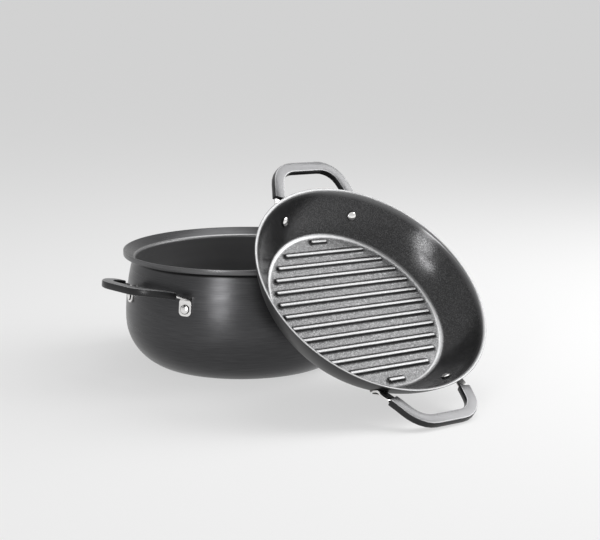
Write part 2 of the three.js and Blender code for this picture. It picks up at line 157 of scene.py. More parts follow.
def arc(centre_x, centre_y, radius, start, end, steps):
    turn = (end - start) / steps
    angles = [start + turn * step for step in range(steps + 1)]
    return [Vector((centre_x + radius * cos(angle), centre_y + radius * sin(angle))) for angle in angles]


def rounded(before, corner, after, radius, steps):
    """The corner between two straight lines, rounded to the given radius."""
    back = (before - corner).normalized()
    on = (after - corner).normalized()
    half = acos(back.dot(on)) / 2
    centre = corner + (back + on).normalized() * (radius / sin(half))
    first = corner + back * (radius / tan(half)) - centre
    last = corner + on * (radius / tan(half)) - centre
    start = atan2(first.y, first.x)
    turn = atan2(first.x * last.y - first.y * last.x, first.dot(last))
    return arc(centre.x, centre.y, radius, start, start + turn, steps)


sample = rounded(Vector((0, 0)), Vector((10, 0)), Vector((10, 10)), 2, 2)
print("a corner at (10, 0) with a 2 mm round:", [brief(point) for point in sample])

# %% [markdown]
# **Turning a section.** By hand: add a plane, merge it to one point, extrude that point along the section,
# and spin the chain a full turn about the upright axis. The last ring lies on the first one, so doubles are
# merged. Then the normals are made to look outwards. Faces that meet at a small angle are shaded smooth.

# %% Turning a section
WELD = 0.002 * MM
TURNED_SHARP = radians(30)


def turned(name, section, steps):
    """Draws a section point by point and spins it round the Z axis."""
    let_go()
    start = section[0]
    bpy.ops.mesh.primitive_plane_add(size=MM, location=(start.x * MM, 0, start.y * MM))
    piece = name_piece(bpy.context.active_object, name)
    apply_place()
    bpy.ops.object.mode_set(mode="EDIT")
    bpy.ops.mesh.select_mode(type="VERT")
    bpy.ops.mesh.select_all(action="SELECT")
    bpy.ops.mesh.merge(type="CENTER")
    for before, point in zip(section, section[1:]):
        step = (point - before) * MM
        bpy.ops.mesh.extrude_region_move(TRANSFORM_OT_translate={"value": (step.x, 0, step.y)})
    bpy.ops.mesh.select_all(action="SELECT")
    bpy.ops.mesh.spin(steps=steps, angle=2 * pi, center=(0, 0, 0), axis=(0, 0, 1))
    bpy.ops.mesh.select_all(action="SELECT")
    bpy.ops.mesh.remove_doubles(threshold=WELD)
    bpy.ops.mesh.normals_make_consistent(inside=False)
    bpy.ops.object.mode_set(mode="OBJECT")
    bpy.ops.object.shade_smooth_by_angle(angle=TURNED_SHARP)
    print(name + ":", len(section), "points in the section,", len(piece.data.polygons), "faces")
    return piece


print("doubles closer than", round(WELD / MM, 4), "mm are merged")

# %% [markdown]
# ## The pot's shell
# The real pot is drawn from one disc: a flat base, a tight curve that runs into a wide one up to the belly,
# and a gentle shoulder up to the neck. The sheet is 3.5 mm thick all the way, so the inner line follows the
# outer one. A cylinder could be pushed into this shape, but its curves would only be near the real ones. So
# the wall is drawn as three arcs that run into each other.

# %% The pot's wall
POT_HEIGHT = 133
POT_WALL = 3.5
BASE_CURVE = 22
BASE_TURN = radians(62)
BASE_STEPS = 8
BELLY_HEIGHT = 54
BELLY_SETBACK = 1.6
BELLY_STEPS = 16
SHOULDER_RADIUS = 270
SHOULDER_STEPS = 14
NECK_HEIGHT = 124.5
LIP_RADIUS = 140

belly_radius = LIP_RADIUS - BELLY_SETBACK
belly_curve = BASE_CURVE + (BELLY_HEIGHT - BASE_CURVE) / sin(BASE_TURN)
neck_angle = asin((NECK_HEIGHT - BELLY_HEIGHT) / SHOULDER_RADIUS)


def pot_wall(inset):
    """The wall from the base up to the neck, this far inside the outer face."""
    belly_x = belly_radius - belly_curve
    base_x = belly_x + (belly_curve - BASE_CURVE) * cos(BASE_TURN)
    shoulder_x = belly_radius - SHOULDER_RADIUS
    base = arc(base_x, BASE_CURVE, BASE_CURVE - inset, -pi / 2, -BASE_TURN, BASE_STEPS)
    belly = arc(belly_x, BELLY_HEIGHT, belly_curve - inset, -BASE_TURN, 0, BELLY_STEPS)
    shoulder = arc(shoulder_x, BELLY_HEIGHT, SHOULDER_RADIUS - inset, 0, neck_angle, SHOULDER_STEPS)
    return [*base, *belly[1:], *shoulder[1:]]


outer_line = pot_wall(0)
inner_line = pot_wall(POT_WALL)
print("pot's wall:", len(outer_line), "points, from", brief(outer_line[0]), "to", brief(outer_line[-1]))

# %% [markdown]
# The lip flares out over the neck and ends in a flat face about 6 mm high that catches the light. Its
# corners are only slightly rounded, as on an edge that is cut after the pot is drawn. The whole section is
# put together once, outer side first, and turned in fine steps so that no facet shows.

# %% The pot's lip, and the pot turned
POT_TURNS = 240
LIP_FACE = 5.7
LIP_LAND = 1.4
LIP_ROUND = 0.6
LIP_STEPS = 4
LAND_STEPS = 3
LIP_FLARE = radians(36)
NECK_ROUND = 2
NECK_STEPS = 4
THROAT_ROUND = 3
THROAT_STEPS = 6

neck = outer_line.pop()
throat = inner_line.pop()
lip_foot = Vector((LIP_RADIUS, POT_HEIGHT - LIP_FACE))
lip_top = Vector((LIP_RADIUS, POT_HEIGHT))
land_end = Vector((LIP_RADIUS - LIP_LAND, POT_HEIGHT))
throat.y = POT_HEIGHT - (land_end.x - throat.x) * tan(LIP_FLARE)
pot_section = [
    Vector((0, 0)),
    *outer_line,
    *rounded(outer_line[-1], neck, lip_foot, NECK_ROUND, NECK_STEPS),
    *rounded(neck, lip_foot, lip_top, LIP_ROUND, LIP_STEPS),
    *rounded(lip_foot, lip_top, land_end, LIP_ROUND, LIP_STEPS),
    *rounded(lip_top, land_end, throat, LIP_ROUND, LAND_STEPS),
    *rounded(land_end, throat, inner_line[-1], THROAT_ROUND, THROAT_STEPS),
    *reversed(inner_line),
    Vector((0, POT_WALL)),
]
pot_shell = turned("pot_shell", pot_section, POT_TURNS)
print("pot without handles:", brief(pot_shell.dimensions), "m")

# %% [markdown]
# ## The griddle's shell
# The griddle is a shallow pan. Its floor is flat, its wall bows out and up to a rounded rim, and the corner
# between floor and wall is wide, as it is on sheet that was pressed. It is modelled flat, with its rim in
# the plane z = 0, and leant against the pot afterwards. Modelling it tilted would make every number harder.

# %% The griddle's section
RIM_RADIUS = 137.6
GRIDDLE_DEPTH = 46
FLOOR_THICKNESS = 3.4
GRIDDLE_WALL = 3.2
WALL_SWEEP = 130
WALL_TOP = radians(23)
WALL_FOOT = radians(45)
WALL_STEPS = 16
RIM_OUTER_ROUND = 0.5
RIM_OUTER_STEPS = 4
RIM_INNER_ROUND = 4
RIM_INNER_STEPS = 10
HEEL_ROUND = 11
HEEL_STEPS = 8
FLOOR_ROUND = 12
FLOOR_STEPS = 14
GRIDDLE_TURNS = 240

floor_height = FLOOR_THICKNESS - GRIDDLE_DEPTH
sweep_x = RIM_RADIUS - WALL_SWEEP * cos(WALL_TOP)
sweep_y = WALL_SWEEP * sin(WALL_TOP)


def griddle_wall(radius):
    return arc(sweep_x, sweep_y, radius, -WALL_FOOT, -WALL_TOP, WALL_STEPS)


def at_height(first, second, height):
    """The point at this height on the straight line through two points."""
    return first.lerp(second, (height - first.y) / (second.y - first.y))


outer_line = griddle_wall(WALL_SWEEP)
inner_line = griddle_wall(WALL_SWEEP - GRIDDLE_WALL)
base_middle = Vector((0, -GRIDDLE_DEPTH))
floor_middle = Vector((0, floor_height))
heel = at_height(outer_line[0], outer_line[1], -GRIDDLE_DEPTH)
floor_edge = at_height(inner_line[0], inner_line[1], floor_height)
rim_out = outer_line.pop()
rim_in = at_height(inner_line[-2], inner_line[-1], 0)
del inner_line[-2:]
griddle_section = [
    base_middle,
    *rounded(base_middle, heel, outer_line[0], HEEL_ROUND, HEEL_STEPS),
    *outer_line,
    *rounded(outer_line[-1], rim_out, rim_in, RIM_OUTER_ROUND, RIM_OUTER_STEPS),
    *rounded(rim_out, rim_in, inner_line[-1], RIM_INNER_ROUND, RIM_INNER_STEPS),
    *reversed(inner_line),
    *rounded(inner_line[0], floor_edge, floor_middle, FLOOR_ROUND, FLOOR_STEPS),
    floor_middle,
]
griddle_shell = turned("griddle_shell", griddle_section, GRIDDLE_TURNS)
print("griddle without handles:", brief(griddle_shell.dimensions), "m")

# %% [markdown]
# ## How the griddle leans
# Three directions carry the flat griddle to its place: up along its face to the upper handle, across it,
# and straight out of it. Every piece of the griddle goes through this one matrix, so all of them fit.

# %% The griddle's place
LEAN_AZIMUTH = radians(-95)
LEAN_FACE = radians(48.3)
LEAN_SPIN = radians(-2.65)
GRIDDLE_CENTRE = Vector((-9.968, -220.638, 122.808)) * MM
UPWARDS = Vector((0, 0, 1))

out_of_face = (cos(LEAN_FACE) * cos(LEAN_AZIMUTH), cos(LEAN_FACE) * sin(LEAN_AZIMUTH), sin(LEAN_FACE))
facing = Vector(out_of_face)
climb = (UPWARDS - facing * facing.z).normalized()
climb.rotate(Matrix.Rotation(LEAN_SPIN, 3, facing))
side = facing.cross(climb)
leaning = Matrix.Translation(GRIDDLE_CENTRE) @ Matrix((climb, side, facing)).transposed().to_4x4()
settle(griddle_shell, leaning)
print("the griddle faces", brief(facing), "and climbs along", brief(climb))

# %% [markdown]
# ## The ridges
# Thirteen straight ridges stand on the griddle's floor, and their ends lie on one circle, so the outer two
# are short. A ridge has a hollow foot that runs out into the floor, a sloping flank and a round back. A bar
# with bevelled edges would be quicker, but it would meet the floor in a hard line. So the profile is drawn
# first, as a radius and a height above the floor.

# %% The ridge's profile
RIDGE_HEIGHT = 3
RIDGE_FOOT = 5.8
FOOT_HOLLOW = 4
HOLLOW_STEPS = 8
BACK_ROUND = 1.3
BACK_STEPS = 6
FLANK_SLOPE = radians(50)

hollow = arc(RIDGE_FOOT, FOOT_HOLLOW, FOOT_HOLLOW, -pi / 2, -pi / 2 - FLANK_SLOPE, HOLLOW_STEPS)
back_foot = RIDGE_HEIGHT - BACK_ROUND + BACK_ROUND * cos(FLANK_SLOPE)
flank_run = (back_foot - hollow[-1].y) / tan(FLANK_SLOPE)
back_x = hollow[-1].x - flank_run - BACK_ROUND * sin(FLANK_SLOPE)
back = arc(back_x, RIDGE_HEIGHT - BACK_ROUND, BACK_ROUND, pi / 2 - FLANK_SLOPE, pi / 2, BACK_STEPS)
ridge_profile = [*hollow, *back]
print("ridge profile:", len(ridge_profile), "points, from", brief(hollow[0]), "to", brief(back[-1]))

# %% [markdown]
# A thin disc is extruded and scaled up that profile, point by point, into a round knob. By hand that is E,
# Z and S, over and over. The disc is sunk a little into the floor, so that no gap shows round the foot.

# %% The knob that every ridge starts from
RIDGE_SIDES = 32
RIDGE_SINK = 0.3
RIDGE_SHARP = radians(40)
LOOKS_UP = 0.9


def knob():
    let_go()
    bpy.ops.mesh.primitive_cylinder_add(
        vertices=RIDGE_SIDES,
        radius=RIDGE_FOOT * MM,
        depth=RIDGE_SINK * MM,
        location=(0, 0, (floor_height - RIDGE_SINK / 2) * MM),
        rotation=(0, 0, pi / RIDGE_SIDES),
    )
    piece = name_piece(bpy.context.active_object, "ridge_knob")
    apply_place()
    bpy.ops.object.mode_set(mode="EDIT")
    bpy.ops.mesh.select_mode(type="FACE")
    bpy.ops.mesh.select_all(action="DESELECT")
    bpy.ops.object.mode_set(mode="OBJECT")
    for face in piece.data.polygons:
        face.select = face.normal.z > LOOKS_UP
    bpy.ops.object.mode_set(mode="EDIT")
    for before, point in zip(ridge_profile, ridge_profile[1:]):
        rise = (point.y - before.y) * MM
        shrink = point.x / before.x
        bpy.ops.mesh.extrude_region_move(TRANSFORM_OT_translate={"value": (0, 0, rise)})
        bpy.ops.transform.resize(value=(shrink, shrink, 1), center_override=(0, 0, 0))
    bpy.ops.mesh.select_all(action="SELECT")
    bpy.ops.mesh.normals_make_consistent(inside=False)
    bpy.ops.object.mode_set(mode="OBJECT")
    bpy.ops.object.shade_smooth_by_angle(angle=RIDGE_SHARP)
    return piece


ridge_knob = knob()
print("knob:", len(ridge_knob.data.polygons), "faces,", brief(ridge_knob.dimensions), "m")

# %% [markdown]
# What repeats is modelled once. For each ridge the knob is copied, and the two halves of the copy are moved
# apart, which makes a long ridge with round ends. Only the distance differs from row to row.

# %% The ridges
RIDGE_PAIRS = 6
RIDGE_PITCH = 15.76
RIDGE_ENDS = 95.1
RIDGE_TOP = 2.6


def pick_half(piece, way):
    """Selects what lies on one side of the knob's middle."""
    mesh = piece.data
    for vertex in mesh.vertices:
        vertex.select = vertex.co.y * way > 0
    for part in [*mesh.edges, *mesh.polygons]:
        part.select = all(mesh.vertices[i].co.y * way > 0 for i in part.vertices)


def ridge(name, offset):
    """One ridge, this far from the griddle's middle. Its back ends about on the circle of ends."""
    piece = copy_of(ridge_knob, name)
    reach = ((RIDGE_ENDS**2 - offset**2) ** 0.5 - RIDGE_TOP / 2) * MM
    for way in (-1, 1):
        pick_half(piece, way)
        bpy.ops.object.mode_set(mode="EDIT")
        bpy.ops.transform.translate(value=(0, way * reach, 0))
        bpy.ops.object.mode_set(mode="OBJECT")
    return settle(piece, leaning @ Matrix.Translation((offset * MM, 0, 0)))


ridges = []
for row in range(-RIDGE_PAIRS, RIDGE_PAIRS + 1):
    ridges.append(ridge(f"griddle_ridge_{row + RIDGE_PAIRS:02d}", row * RIDGE_PITCH))
discard(ridge_knob)
print(len(ridges), "ridges of", len(ridges[0].data.polygons), "faces each")

# %% [markdown]
# ## The rivets
# A rivet is one steel pin with a low dome at each end, one inside the pan and one over the strap's tab. A
# squashed sphere on a cylinder would look alike, but a turned section gives one closed piece with a crisp
# little edge round each dome. Height 0 of the section is at the wall's outer face.

# %% The rivet's section
RIVET_HEAD = 5.4
RIVET_RISE = 2.1
RIVET_EDGE = 0.5
RIVET_ROUND = 0.3
RIVET_SHANK = 2.4
DOME_STEPS = 8
EDGE_STEPS = 3
STRAP_THICKNESS = 2.5
SEAT_GAP = 0.3


def rivet_section(wall):
    """The section of a rivet through a wall this thick and the strap's tab."""
    outer_foot = SEAT_GAP + STRAP_THICKNESS + SEAT_GAP
    inner_foot = -wall - SEAT_GAP
    dome_rise = RIVET_RISE - RIVET_EDGE
    ball = (RIVET_HEAD**2 + dome_rise**2) / (2 * dome_rise)
    dome_angle = asin(RIVET_HEAD / ball)
    angles = [dome_angle * step / DOME_STEPS for step in range(DOME_STEPS + 1)]
    cap = [Vector((ball * sin(angle), RIVET_RISE - ball * (1 - cos(angle)))) for angle in angles]
    edge = rounded(cap[-2], cap[-1], Vector((RIVET_HEAD, 0)), RIVET_ROUND, EDGE_STEPS)
    head = [*cap[:-1], *edge]
    return [
        *[Vector((point.x, inner_foot - point.y)) for point in head],
        Vector((RIVET_HEAD, inner_foot)),
        Vector((RIVET_SHANK, inner_foot)),
        Vector((RIVET_SHANK, outer_foot)),
        Vector((RIVET_HEAD, outer_foot)),
        *[Vector((point.x, outer_foot + point.y)) for point in reversed(head)],
    ]


print("pot's rivet:", [brief(point) for point in rivet_section(POT_WALL)[:3]], "and so on")

# %% [markdown]
# A tab needs a flat seat, and the CAD model's walls are flat between their turns. So each seat is worked
# out on the band of flat faces that carries the tab.

# %% Where the rivets sit
TAB_BAND = 16.4
POT_TAB_HEIGHT = 86
CAD_POT_TURNS = 60
GRIDDLE_TAB_SLOPE = radians(35.2)
CAD_GRIDDLE_TURNS = 56


def seat(lower, upper, turns):
    """The radius and height of a tab's middle on the flat band of the wall, and the slope of the band."""
    share = cos(pi / turns)
    return (
        (lower.x + upper.x) / 2 * share,
        (lower.y + upper.y) / 2,
        atan2(upper.y - lower.y, (upper.x - lower.x) * share),
    )


def shoulder_point(height):
    angle = asin((height - BELLY_HEIGHT) / SHOULDER_RADIUS)
    return Vector((belly_radius - SHOULDER_RADIUS + SHOULDER_RADIUS * cos(angle), height))


def sweep_point(slope):
    return Vector((sweep_x + WALL_SWEEP * cos(slope), sweep_y - WALL_SWEEP * sin(slope)))


tab_foot = shoulder_point(POT_TAB_HEIGHT - TAB_BAND / 2)
tab_head = shoulder_point(POT_TAB_HEIGHT + TAB_BAND / 2)
pot_seat = seat(tab_foot, tab_head, CAD_POT_TURNS)
half_band = TAB_BAND / (2 * WALL_SWEEP)
tab_foot = sweep_point(GRIDDLE_TAB_SLOPE + half_band)
tab_head = sweep_point(GRIDDLE_TAB_SLOPE - half_band)
griddle_seat = seat(tab_foot, tab_head, CAD_GRIDDLE_TURNS)
print("seats (radius, height, slope):", brief(pot_seat), brief(griddle_seat))

# %% [markdown]
# One rivet is turned for each wall thickness and copied. The copies stand straight out of the wall at
# their seats.

# %% The rivets
RIVET_TURNS = 40
POT_RIVETS = {
    "right_back": radians(21),
    "right_front": radians(-21),
    "left_front": radians(201),
    "left_back": radians(159),
}
GRIDDLE_RIVETS = {
    "upper_left": radians(22.5),
    "upper_right": radians(-22.5),
    "lower_right": radians(202.5),
    "lower_left": radians(157.5),
}
rivets = {}
rivet_axes = {}


def rivet_place(where, angle):
    """Stands a rivet on its seat, this far round the pan, with its axis straight out of the wall."""
    radius, height, rise = where
    outward = Vector((sin(rise) * cos(angle), sin(rise) * sin(angle), -cos(rise)))
    upward = Vector((cos(rise) * cos(angle), cos(rise) * sin(angle), sin(rise)))
    turn = Matrix((outward.cross(upward) * -1, upward, outward)).transposed().to_4x4()
    return Matrix.Translation(Vector((radius * cos(angle), radius * sin(angle), height)) * MM) @ turn


def set_rivets(pan, wall, where, stands, angles):
    pattern = turned(f"{pan}_rivet_pattern", rivet_section(wall), RIVET_TURNS)
    for label, angle in angles.items():
        node = f"{pan}_rivet_{label}"
        place = stands @ rivet_place(where, angle)
        rivets[node] = settle(copy_of(pattern, node + "_turned"), place)
        rivet_axes[node] = place.to_3x3().col[2].copy()
    discard(pattern)


set_rivets("pot", POT_WALL, pot_seat, Matrix.Identity(4), POT_RIVETS)
set_rivets("griddle", GRIDDLE_WALL, griddle_seat, leaning, GRIDDLE_RIVETS)
print(len(rivets), "rivets")

# %% [markdown]
# ## Straps and grips
# The straps are bent from flat steel bar and the grips are moulded round them. They could be swept along
# a curve, but their CAD shapes are right already. Only their edges are not: a real edge is never razor
# sharp. So each part is copied, its loose triangles are merged, its flat faces are joined up, and its edges
# get a small bevel that catches the light.

# %% The straps and grips
STRAP_EDGE = 0.35 * MM
STRAP_CORNER = radians(50)
GRIP_EDGE = 0.4 * MM
GRIP_CORNER = radians(60)
EDGE_SEGMENTS = 3
CAD_WELD = 0.005 * MM
ONE_FACE = radians(0.5)
HANDLE_SHARP = radians(35)


def softened(node, name, width, corner):
    """A copy of a CAD part with a bevel of this width on every edge that turns more than the corner."""
    piece = copy_of(nodes[node], name)
    bpy.ops.object.parent_clear(type="CLEAR_KEEP_TRANSFORM")
    bpy.ops.object.mode_set(mode="EDIT")
    bpy.ops.mesh.select_mode(type="VERT")
    bpy.ops.mesh.select_all(action="SELECT")
    bpy.ops.mesh.customdata_custom_splitnormals_clear()
    bpy.ops.mesh.remove_doubles(threshold=CAD_WELD)
    bpy.ops.mesh.dissolve_limited(angle_limit=ONE_FACE)
    bpy.ops.object.mode_set(mode="OBJECT")
    bevel = piece.modifiers.new("edge", "BEVEL")
    bevel.width = width
    bevel.segments = EDGE_SEGMENTS
    bevel.limit_method = "ANGLE"
    bevel.angle_limit = corner
    bpy.ops.object.modifier_apply(modifier="edge")
    bpy.ops.object.shade_smooth_by_angle(angle=HANDLE_SHARP)
    return piece


handles = {}
for node in sorted(nodes):
    if "_strap_" in node:
        handles[node] = softened(node, node + "_polished", STRAP_EDGE, STRAP_CORNER)
    if "_grip_" in node:
        handles[node] = softened(node, node + "_moulded", GRIP_EDGE, GRIP_CORNER)
print(len(handles), "straps and grips")

# %% [markdown]
# ## Finishes
# A picture could be wrapped round the pans, but it would stretch and show its edges. Instead every finish
# is made of noise and simple maths on the piece's own coordinates, so it stays on the surface from any
# side. Three effects come back in several finishes, and each is one node group: fine lines left by turning,
# the fleck of a coating, and a mask by height. These helpers make the nodes that all three use.

# %% Node helpers


def new_group(name, values, masks):
    """A node group that reads a place and these values, and puts out these masks."""
    group = bpy.data.node_groups.new(name, "ShaderNodeTree")
    group.interface.new_socket(name="Vector", in_out="INPUT", socket_type="NodeSocketVector")
    for label, value in values.items():
        socket = group.interface.new_socket(name=label, in_out="INPUT", socket_type="NodeSocketFloat")
        socket.default_value = value
    for label in masks:
        group.interface.new_socket(name=label, in_out="OUTPUT", socket_type="NodeSocketFloat")
    return group, group.nodes.new("NodeGroupInput"), group.nodes.new("NodeGroupOutput")


def math_node(tree, operation, a, b, clamp=False):
    """One step of arithmetic on two things, each a number or the output of another node."""
    node = tree.nodes.new("ShaderNodeMath")
    node.operation = operation
    node.use_clamp = clamp
    for socket, value in zip(node.inputs, (a, b)):
        if isinstance(value, (int, float)):
            socket.default_value = value
        else:
            tree.links.new(value, socket)
    return node.outputs[0]


def noise(tree, place, scale, detail):
    node = tree.nodes.new("ShaderNodeTexNoise")
    node.inputs["Scale"].default_value = scale
    node.inputs["Detail"].default_value = detail
    tree.links.new(place, node.inputs["Vector"])
    return node.outputs["Fac"]


print("node helpers:", [helper.__name__ for helper in (new_group, math_node, noise)])

# %% [markdown]
# **Turned lines.** A pan that spins under an abrasive pad keeps fine rings. Noise that is squeezed much
# more in height than along the wall gives short streaks that run round it. Length and Lines say how much.
# Mask holds the fine streaks and Broad the wider, slower ones.

# %% The group of turned lines
FINE_SCALE = 1
FINE_DETAIL = 3
BROAD_SCALE = 0.12
BROAD_DETAIL = 2

turned_lines, given, made = new_group("turned_lines", {"Length": 45.0, "Lines": 1400.0}, ["Mask", "Broad"])
split = turned_lines.nodes.new("ShaderNodeSeparateXYZ")
join = turned_lines.nodes.new("ShaderNodeCombineXYZ")
turned_lines.links.new(given.outputs["Vector"], split.inputs[0])
for axis, factor in (("X", "Length"), ("Y", "Length"), ("Z", "Lines")):
    squeezed = math_node(turned_lines, "MULTIPLY", split.outputs[axis], given.outputs[factor])
    turned_lines.links.new(squeezed, join.inputs[axis])
fine = noise(turned_lines, join.outputs[0], FINE_SCALE, FINE_DETAIL)
broad = noise(turned_lines, join.outputs[0], BROAD_SCALE, BROAD_DETAIL)
turned_lines.links.new(fine, made.inputs["Mask"])
turned_lines.links.new(broad, made.inputs["Broad"])
print("group turned_lines:", len(turned_lines.nodes), "nodes")

# %% [markdown]
# **Fleck.** The coating inside the griddle holds fine metal flakes. A Voronoi texture cuts the surface into
# small cells of random brightness. Only a share of them, the brightest, passes into the mask, and a soft
# noise varies the tone.

# %% The group of flecks
CLOUD_SCALE = 60
CLOUD_DETAIL = 4

fleck, given, made = new_group("fleck", {"Size": 900.0, "Share": 0.3}, ["Mask", "Tone"])
cells = fleck.nodes.new("ShaderNodeTexVoronoi")
cell_tone = fleck.nodes.new("ShaderNodeSeparateColor")
fleck.links.new(given.outputs["Vector"], cells.inputs["Vector"])
fleck.links.new(given.outputs["Size"], cells.inputs["Scale"])
fleck.links.new(cells.outputs["Color"], cell_tone.inputs[0])
threshold = math_node(fleck, "SUBTRACT", 1.0, given.outputs["Share"])
above = math_node(fleck, "SUBTRACT", cell_tone.outputs[0], threshold)
bright = math_node(fleck, "DIVIDE", above, given.outputs["Share"], clamp=True)
fleck.links.new(bright, made.inputs["Mask"])
cloud = noise(fleck, given.outputs["Vector"], CLOUD_SCALE, CLOUD_DETAIL)
fleck.links.new(cloud, made.inputs["Tone"])
print("group fleck:", len(fleck.nodes), "nodes")

# %% [markdown]
# ** Height band.** Several tones are placed by height: the painted highlights on the ridges' backs, in the
# griddle's corner and on the pot's throat, the painted shade under the pot's lip, the rubbed coating near
# the griddle's rim and the paler floor. The group turns a height into a mask that grows from Low to High,
# and a soft noise breaks its border.

# %% The group of height bands
BORDER_SCALE = 700
BORDER_DETAIL = 2
BORDER_DEPTH = 0.2 * MM
NOISE_MIDDLE = 0.5

# A mask by height, which places painted highlights, painted shade and the paler tones near the rim and on
# the floor.
height_band_group, given, made = new_group("height_band", {"Low": 0.0, "High": 0.001}, ["Mask"])
split = height_band_group.nodes.new("ShaderNodeSeparateXYZ")
height_band_group.links.new(given.outputs["Vector"], split.inputs[0])
border = noise(height_band_group, given.outputs["Vector"], BORDER_SCALE, BORDER_DETAIL)
uneven = math_node(height_band_group, "SUBTRACT", border, NOISE_MIDDLE)
shift = math_node(height_band_group, "MULTIPLY", uneven, BORDER_DEPTH)
height = math_node(height_band_group, "ADD", split.outputs["Z"], shift)
ramp = height_band_group.nodes.new("ShaderNodeMapRange")
ramp.interpolation_type = "SMOOTHSTEP"
height_band_group.links.new(height, ramp.inputs["Value"])
height_band_group.links.new(given.outputs["Low"], ramp.inputs["From Min"])
height_band_group.links.new(given.outputs["High"], ramp.inputs["From Max"])
height_band_group.links.new(ramp.outputs["Result"], made.inputs["Mask"])
print("group height_band:", len(height_band_group.nodes), "nodes")

# %% [markdown]
# **Placing a group in a finish.** A material places a group and gives it its own values. The griddle leans,
# so its patterns pass a Mapping node that turns the piece's coordinates back to the griddle's own, with its
# rim in the plane z = 0. There a height is a height again.

# %% Materials and the groups in them


def new_material(name, metallic):
    material = bpy.data.materials.new(name)
    material.use_nodes = True
    shader = material.node_tree.nodes["Principled BSDF"]
    shader.inputs["Metallic"].default_value = metallic
    return material, material.node_tree, shader


def use_group(tree, group, stands=None, **values):
    node = tree.nodes.new("ShaderNodeGroup")
    node.node_tree = group
    where = tree.nodes.new("ShaderNodeTexCoord").outputs["Object"]
    if stands is not None:
        turn = tree.nodes.new("ShaderNodeMapping")
        turn.vector_type = "TEXTURE"
        turn.inputs["Location"].default_value = stands.to_translation()
        turn.inputs["Rotation"].default_value = stands.to_euler()
        tree.links.new(where, turn.inputs["Vector"])
        where = turn.outputs[0]
    tree.links.new(where, node.inputs["Vector"])
    for label, value in values.items():
        node.inputs[label].default_value = value
    return node


def height_mask(tree, low, high, stands=None):
    """A mask that grows from one height to the other, both in millimetres."""
    return use_group(tree, height_band_group, stands, Low=low * MM, High=high * MM).outputs["Mask"]


print("groups:", sorted(group.name for group in bpy.data.node_groups))

# %% [markdown]
# **Tone, gloss and relief.** A mask does three things to a finish. It blends two tones, it moves the
# roughness between two values, and through a Bump node it raises or sinks the surface a little.

# %% Tone, gloss and relief
NOISE_LOW = 0.3
NOISE_HIGH = 0.7


def blend_colors(tree, mask, low, high):
    """From one tone to another. Each is a colour or the output of another node."""
    mix = tree.nodes.new("ShaderNodeMix")
    mix.data_type = "RGBA"
    for socket, color in ((mix.inputs["A"], low), (mix.inputs["B"], high)):
        if isinstance(color, tuple):
            socket.default_value = (*color, 1)
        else:
            tree.links.new(color, socket)
    tree.links.new(mask, mix.inputs["Factor"])
    return mix.outputs["Result"]


def spread(tree, value, low, high, start=NOISE_LOW, end=NOISE_HIGH):
    """Noise stays between about 0.3 and 0.7, and a mask runs from 0 to 1."""
    node = tree.nodes.new("ShaderNodeMapRange")
    node.inputs["From Min"].default_value = start
    node.inputs["From Max"].default_value = end
    node.inputs["To Min"].default_value = low
    node.inputs["To Max"].default_value = high
    tree.links.new(value, node.inputs["Value"])
    return node.outputs["Result"]


def bump(tree, shader, height, strength, depth):
    node = tree.nodes.new("ShaderNodeBump")
    node.inputs["Strength"].default_value = strength
    node.inputs["Distance"].default_value = depth
    tree.links.new(height, node.inputs["Height"])
    tree.links.new(node.outputs[0], shader.inputs["Normal"])


print("noise from", NOISE_LOW, "to", NOISE_HIGH, "is spread over a finish's full range")

# %% [markdown]
# ** Metal with lines.** All the bare and anodised metal here is one recipe with different values. Turned
# lines vary the tone and the gloss. Some finishes have a relief, and some have a band of painted shade or a
# painted highlight at one height. One output of the group goes to the tone and the other one to the gloss,
# so that the two don't change together.

# %% Metal with lines


def lined_metal(
    name, metallic, tones, gloss, tone_from="Mask", relief=None, band=None, stands=None, **values
):
    """A relief is a strength and a depth. A band is the heights where it starts and is full, and a tone."""
    material, tree, shader = new_material(name, metallic)
    lines = use_group(tree, turned_lines, stands, **values)
    gloss_from = "Broad" if tone_from == "Mask" else "Mask"
    tone = blend_colors(tree, lines.outputs[tone_from], *tones)
    if band:
        start, full, band_tone = band
        tone = blend_colors(tree, height_mask(tree, start, full, stands), tone, band_tone)
    tree.links.new(tone, shader.inputs["Base Color"])
    tree.links.new(spread(tree, lines.outputs[gloss_from], *gloss), shader.inputs["Roughness"])
    if relief:
        bump(tree, shader, lines.outputs["Mask"], *relief)
    return material


print("recipe for metal with lines, on the group", turned_lines.name)

# %% [markdown]
# ## The pot's hard-anodised finish
# Hard-anodising grows a grey oxide skin on the aluminium. It is satin, and the turned lines of the metal
# under it still show as fine rings. Under the lip, painted shade puts an almost black band round the neck.
# The lip's face is paler, and a painted highlight runs as a thin bright line along its inner edge. Inside,
# the skin is duller, and it is painted a little lighter to stand in for light that the inside lacks.

# %% The pot's finishes
SKIN_TONES = ((0.04, 0.04, 0.042), (0.095, 0.095, 0.098))
# Painted shade: the lip's shadow, an almost black band round the neck under the lip.
LIP_SHADOW_BAND = (NECK_HEIGHT - 3.4, NECK_HEIGHT - 1.4, (0.008, 0.008, 0.008))
LIP_TONES = ((0.1, 0.1, 0.102), (0.17, 0.17, 0.173))
LIP_LINES = {"Length": 60.0, "Lines": 900.0}
THROAT_TONES = ((0.05, 0.05, 0.052), (0.08, 0.08, 0.082))
# A painted highlight: a thin bright band along the throat's inner edge.
THROAT_HIGHLIGHT_BAND = (throat.y + 2.6, throat.y + 0.8, (0.36, 0.36, 0.36))
# Painted lighter than the outside, to stand in for the light that the inside lacks.
INSIDE_PAINTED_LIGHT_TONES = ((0.105, 0.105, 0.107), (0.14, 0.14, 0.142))
INSIDE_LINES = {"Length": 30.0, "Lines": 500.0}

